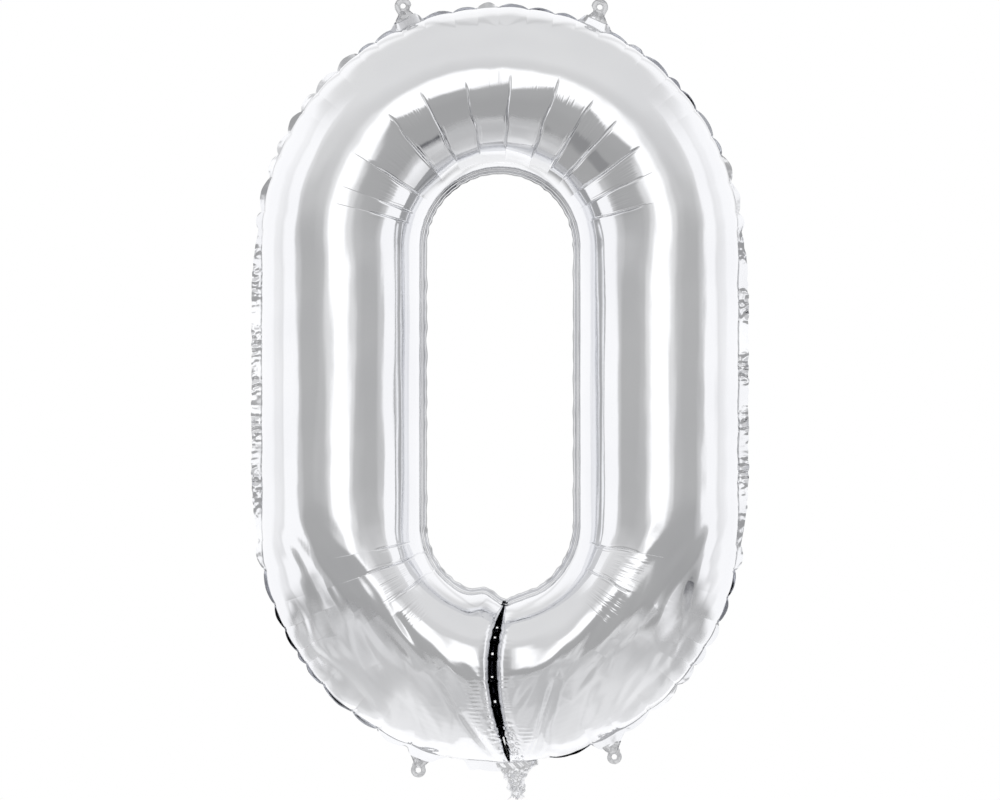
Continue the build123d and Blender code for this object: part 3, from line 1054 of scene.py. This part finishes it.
# %% What the film sees, and what the camera sees
background = sky.nodes.new("ShaderNodeBackground")
background.inputs["Strength"].default_value = 1.05
sky.links.new(room, background.inputs["Color"])
backdrop = sky.nodes.new("ShaderNodeBackground")
backdrop.inputs["Color"].default_value = (1, 1, 1, 1)
path = sky.nodes.new("ShaderNodeLightPath")
pick = sky.nodes.new("ShaderNodeMixShader")
sky.links.new(path.outputs["Is Camera Ray"], pick.inputs[0])
sky.links.new(background.outputs[0], pick.inputs[1])
sky.links.new(backdrop.outputs[0], pick.inputs[2])
world_out = sky.nodes.new("ShaderNodeOutputWorld")
sky.links.new(pick.outputs[0], world_out.inputs[0])
bpy.context.scene.world = world
bpy.context.scene.view_settings.view_transform = "Standard"
print("room nodes:", len(sky.nodes))

# %% [markdown]
# ## The floor
# A round sheet of pale paper lies under the balloon, and it fades out towards its rim.  The
# camera sees it plain.  In reflections it also glows, more so behind the balloon, and it is
# softly mottled, so that the lower lobes have something to show.

# %% Floor
FLOOR_Z = cad_box[0][2] - 110 * MM
FLOOR_RIM = 0.95
bm = bmesh.new()
bmesh.ops.create_circle(bm, cap_ends=True, segments=96, radius=FLOOR_RIM)
bmesh.ops.translate(bm, verts=bm.verts, vec=(0, 0, FLOOR_Z))
floor_mesh = bpy.data.meshes.new("floor")
bm.to_mesh(floor_mesh)
bm.free()
floor = bpy.data.objects.new("floor", floor_mesh)
bpy.context.scene.collection.objects.link(floor)

# %% The paper that the camera sees
paper, tree, shader = new_material("pale_paper")
shader.inputs["Roughness"].default_value = 0.8
on_floor = tree.nodes.new("ShaderNodeTexCoord").outputs["Object"]
floor_split = tree.nodes.new("ShaderNodeSeparateXYZ")
tree.links.new(on_floor, floor_split.inputs[0])
floor_x, floor_y, _ = floor_split.outputs
across_floor = math_node(tree, "MULTIPLY", floor_x, 1.3)
across_squared = math_node(tree, "MULTIPLY", across_floor, across_floor)
far = math_node(tree, "ADD", across_squared, math_node(tree, "MULTIPLY", floor_y, floor_y))
far = math_node(tree, "DIVIDE", math_node(tree, "SQRT", far), FLOOR_RIM)
plain = ramp(tree, noise(tree, on_floor, 60), ((0.3, 0.79), (0.7, 0.83)))
fade = ramp(tree, far, ((0.0, 1.0), (0.7, 1.0), (0.97, 0.0)))
tree.links.new(fade, shader.inputs["Alpha"])

# %% The glow and the mottling that only reflections see
aside = math_node(tree, "MULTIPLY", math_node(tree, "ABSOLUTE", floor_x), 0.9)
back_y = math_node(tree, "ADD", math_node(tree, "SUBTRACT", floor_y, aside), 0.5)
glow = ramp(tree, back_y, ((0.0, 0.02), (0.2, 0.14), (0.325, 0.19), (0.345, 0.4), (1.0, 0.4)), "LINEAR")
floor_path = tree.nodes.new("ShaderNodeLightPath")
unseen = math_node(tree, "SUBTRACT", 1.0, floor_path.outputs["Is Camera Ray"])
shade = noise(tree, stretch(tree, on_floor, (4.5, 2.4, 1)), 1.0)
mottled = ramp(tree, shade, ((0.38, 0.66), (0.6, 0.9)))
tree.links.new(mix_colours(tree, unseen, plain, mottled), shader.inputs["Base Color"])
tree.links.new(math_node(tree, "MULTIPLY", glow, unseen), shader.inputs["Emission Color"])
shader.inputs["Emission Strength"].default_value = 1.0
floor_mesh.materials.append(paper)
print("floor at", round(FLOOR_Z, 3))

# %% [markdown]
# ## The foil's finish
# Metallised film is a thin mirror on plastic.  Its colour is a very slightly cool silver.
# It is not a perfect mirror: rolling and handling leave faint streaks and a fine crinkle.  The
# roughness follows the flat place of each point on its sheet, the crinkle its place on the
# balloon, and the number kept in the mesh paints shade on the film deep between the lobes,
# mixing its colour towards near-black.


# %% Foil material
def foil_material(name, colours, roughness, crinkle, ribbed=False):
    """Metallised film: cool silver with streaked roughness and a fine crinkle."""
    material, tree, shader = new_material(name)
    shader.inputs["Metallic"].default_value = 1.0
    film = tree.nodes.new("ShaderNodeUVMap")
    film.uv_map = "film"
    streak = noise(tree, stretch(tree, film.outputs[0], (6, 90, 1)), 1.0, 4)
    solid = tree.nodes.new("ShaderNodeTexCoord").outputs["Object"]
    tone = ramp(tree, noise(tree, solid, 9, 3), ((0.3, colours[0]), (0.7, colours[1])))
    # Painted shade: the colour is mixed towards near-black where the mesh marks the film deep between the lobes.
    deep = tree.nodes.new("ShaderNodeAttribute")
    deep.attribute_name = "painted_shade_layer"
    tone = mix_colours(tree, deep.outputs["Fac"], tone, (0.012, 0.012, 0.016))
    tree.links.new(tone, shader.inputs["Base Color"])
    gloss = ramp(tree, streak, ((0.25, roughness[0]), (0.75, roughness[1])))
    tree.links.new(gloss, shader.inputs["Roughness"])
    crinkle_scale, crinkle_strength = crinkle
    bump = tree.nodes.new("ShaderNodeBump")
    bump.inputs["Strength"].default_value = crinkle_strength
    bump.inputs["Distance"].default_value = 0.4 * MM
    height = noise(tree, solid, crinkle_scale)
    if ribbed:
        ribs = tree.nodes.new("ShaderNodeTexVoronoi")
        ribs.inputs["Scale"].default_value = 260
        tree.links.new(solid, ribs.inputs["Vector"])
        height = math_node(tree, "ADD", height, ribs.outputs["Distance"])
    tree.links.new(height, bump.inputs["Height"])
    tree.links.new(bump.outputs[0], shader.inputs["Normal"])
    return material


# %% The four finishes
silver = foil_material(
    "silver_foil", ((0.85, 0.855, 0.875), (0.885, 0.89, 0.905)), (0.05, 0.11), (160, 0.06),
)
welded = foil_material(
    "welded_foil", ((0.74, 0.745, 0.77), (0.86, 0.865, 0.88)), (0.07, 0.14), (420, 0.05), ribbed=True,
)
handled = foil_material(
    "handled_foil", ((0.68, 0.685, 0.70), (0.80, 0.805, 0.815)), (0.28, 0.42), (260, 0.35), ribbed=True,
)
tail_foil = foil_material(
    "crumpled_foil", ((0.82, 0.825, 0.84), (0.9, 0.905, 0.915)), (0.14, 0.24), (300, 0.05),
)
for arch, lobes, _ in panels:
    arch.data.materials.append(silver)
    lobes.data.materials.append(silver)
for strip in (outer_margin, hole_margin, divider):
    strip.data.materials.append(welded)
for ear in ears:
    ear.data.materials.append(handled)
neck.data.materials.append(tail_foil)
print("foil finishes:", silver.name, welded.name, handled.name, tail_foil.name)

# %% [markdown]
# ## Inside the neck
# The valve is two clear films with a printed matt patch between them.  They hardly show,
# but they are real pieces, so they get a clear film and a matt print.


# %% Valve materials
def film_material(name, low, high, roughness, clear):
    """A plastic film or print with faint clouds."""
    material, tree, shader = new_material(name)
    cloud = noise(tree, tree.nodes.new("ShaderNodeTexCoord").outputs["Object"], 140)
    tree.links.new(ramp(tree, cloud, ((0.3, low), (0.7, high))), shader.inputs["Base Color"])
    shader.inputs["Roughness"].default_value = roughness
    shader.inputs["Transmission Weight"].default_value = clear
    return material


clear_film = film_material("clear_valve_film", (0.78, 0.8, 0.82), (0.84, 0.86, 0.88), 0.18, 0.6)
printed = film_material("release_print", (0.78, 0.8, 0.79), (0.85, 0.87, 0.86), 0.7, 0.0)
VALVE_FINISHES = {
    "valve_front_film": clear_film,
    "valve_back_film": clear_film,
    "valve_release_coating": printed,
}
for node, material in VALVE_FINISHES.items():
    valve_piece = frame["nodes"][node]
    valve_piece.data.materials.clear()
    valve_piece.data.materials.append(material)
print("valve pieces finished")
